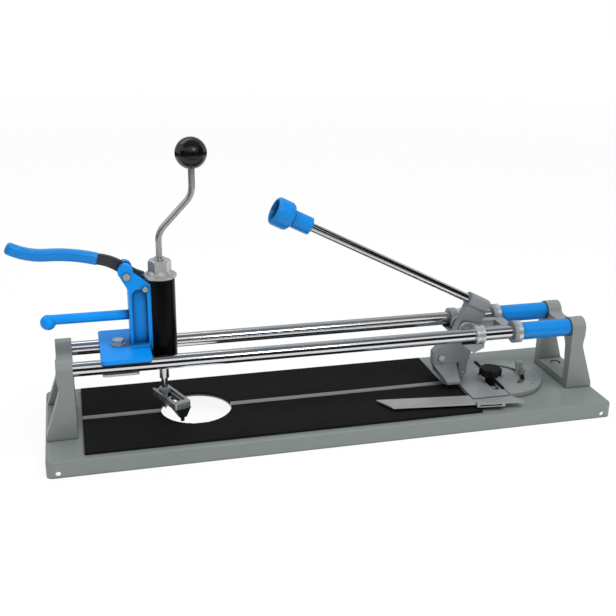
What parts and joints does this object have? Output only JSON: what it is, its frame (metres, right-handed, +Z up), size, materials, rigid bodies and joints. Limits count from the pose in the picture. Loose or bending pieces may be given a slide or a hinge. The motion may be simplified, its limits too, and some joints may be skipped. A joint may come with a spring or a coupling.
{
  "type": "manual tile cutter",
  "caption": "Manual tile cutter: chromed twin rails on a ribbed-mat base, a scoring and breaking lever, an angle stop with ruler and a hand-cranked hole cutter.",
  "frame": {"origin": "on the ground plane under the middle of the base pan's rim", "axes": "+X along the rails towards the angle stop, -Y towards the user, +Z up"},
  "size_m": [0.7685, 0.205, 0.3783],
  "materials": {
    "base_paint": "grey-green enamel",
    "post_paint": "grey enamel on a casting",
    "mat_rubber": "ribbed",
    "ridge_metal": "extruded",
    "rail_chrome": "polished",
    "rod_chrome": "polished",
    "blue_plastic": "moulded",
    "blue_enamel": "gloss enamel",
    "housing_enamel": "black enamel",
    "knob_plastic": "moulded",
    "cast_metal": "as cast",
    "fence_metal": "as cast",
    "ruler_steel": "brushed",
    "bush_steel": "turned",
    "zinc_steel": "zinc plated",
    "dark_steel": "oiled",
    "holder_black": "black oxide",
    "tool_steel": "ground",
    "bush_brass": "turned"
  },
  "bodies": {
    "base": {"base_pan": "base_paint", "front_pad": "mat_rubber", "rear_pad": "mat_rubber", "breaking_ridge": "ridge_metal", "left_post": "post_paint", "right_post": "post_paint", "post_bolts": "zinc_steel", "front_rail": "rail_chrome", "rear_rail": "rail_chrome", "front_sleeve": "blue_plastic", "rear_sleeve": "blue_plastic", "angle_pivot_pin": "zinc_steel", "angle_clamp_bolt": "zinc_steel"},
    "carriage": {"carriage_body": "cast_metal", "carriage_bushes": "bush_steel", "lever_pin": "zinc_steel"},
    "handle": {"lever_casting": "cast_metal", "breaker_foot": "cast_metal", "foot_screw": "zinc_steel", "handle_rod": "rod_chrome", "handle_cap": "blue_plastic", "wheel_axle": "zinc_steel"},
    "wheel": {"scoring_wheel": "tool_steel"},
    "angle_stop": {"angle_plate": "cast_metal"},
    "fence": {"fence_arm": "fence_metal", "ruler_clip": "ruler_steel"},
    "ruler": {"ruler": "ruler_steel"},
    "fence_knob": {"fence_knob": "knob_plastic"},
    "wing_nut": {"angle_wing_nut": "zinc_steel"},
    "hole_unit": {"hole_bracket": "blue_enamel", "clamp_plate": "zinc_steel", "clamp_bolt": "zinc_steel", "clamp_nut": "zinc_steel", "spring_housing": "housing_enamel", "housing_bush": "bush_brass", "housing_screw": "zinc_steel", "spindle_spring": "dark_steel", "squeeze_pin": "zinc_steel", "lower_handle": "blue_enamel"},
    "squeeze": {"squeeze_lever": "dark_steel", "lever_grip": "blue_plastic"},
    "lift": {"spindle_washer": "zinc_steel"},
    "crank": {"spindle": "rod_chrome", "spindle_nut": "zinc_steel", "crank_rod": "rod_chrome", "crank_knob": "knob_plastic", "arm_nut": "zinc_steel", "pilot_drill": "tool_steel"},
    "cutter": {"cutter_arm": "dark_steel", "cutter_holder": "holder_black", "cutter_tip": "tool_steel"}
  },
  "joints": [
    {"name": "carriage_slide", "type": "slide", "parent": "base", "child": "carriage", "axis": [1, 0, 0], "range_m": [-0.085, 0]},
    {"name": "handle_swing", "type": "hinge", "parent": "carriage", "child": "handle", "pos_m": [0.19, 0, 0.107], "axis": [0, 1, 0], "range_deg": [0, 45]},
    {"name": "wheel_spin", "type": "hinge", "parent": "handle", "child": "wheel", "pos_m": [0.1925, 0, 0.0416], "axis": [0, 1, 0], "continuous": true},
    {"name": "angle_swing", "type": "hinge", "parent": "base", "child": "angle_stop", "pos_m": [0.249, 0, 0.021], "axis": [0, 0, 1], "range_deg": [-45, 45]},
    {"name": "fence_slide", "type": "slide", "parent": "angle_stop", "child": "fence", "axis": [0, 1, 0], "range_m": [-0.025, 0.015]},
    {"name": "ruler_slide", "type": "slide", "parent": "fence", "child": "ruler", "axis": [-0.9936, 0.1132, 0], "range_m": [-0.03, 0.025]},
    {"name": "fence_knob_turn", "type": "hinge", "parent": "angle_stop", "child": "fence_knob", "pos_m": [0.227, -0.021, 0.0287], "axis": [0, 0, 1], "continuous": true},
    {"name": "wing_nut_turn", "type": "hinge", "parent": "base", "child": "wing_nut", "pos_m": [0.283, 0, 0.03], "axis": [0, 0, 1], "continuous": true},
    {"name": "hole_unit_slide", "type": "slide", "parent": "base", "child": "hole_unit", "axis": [1, 0, 0], "range_m": [-0.008, 0.04]},
    {"name": "squeeze_swing", "type": "hinge", "parent": "hole_unit", "child": "squeeze", "pos_m": [-0.26, 0, 0.2135], "axis": [0, -1, 0], "range_deg": [0, 22]},
    {"name": "spindle_lift", "type": "slide", "parent": "hole_unit", "child": "lift", "axis": [0, 0, 1], "range_m": [0, 0.0086], "stiffness_N_per_m": 1500, "springref_m": -0.01, "deforming": ["spindle_spring"]},
    {"name": "crank_turn", "type": "hinge", "parent": "lift", "child": "crank", "pos_m": [-0.2185, 0, 0.15], "axis": [0, 0, 1], "continuous": true},
    {"name": "cutter_slide", "type": "slide", "parent": "crank", "child": "cutter", "axis": [0.3746, -0.9272, 0], "range_m": [-0.026, 0.005]}
  ],
  "couplings": [
    {"joint": "spindle_lift", "follows": "squeeze_swing", "m_per_rad": 0.0221}
  ]
}
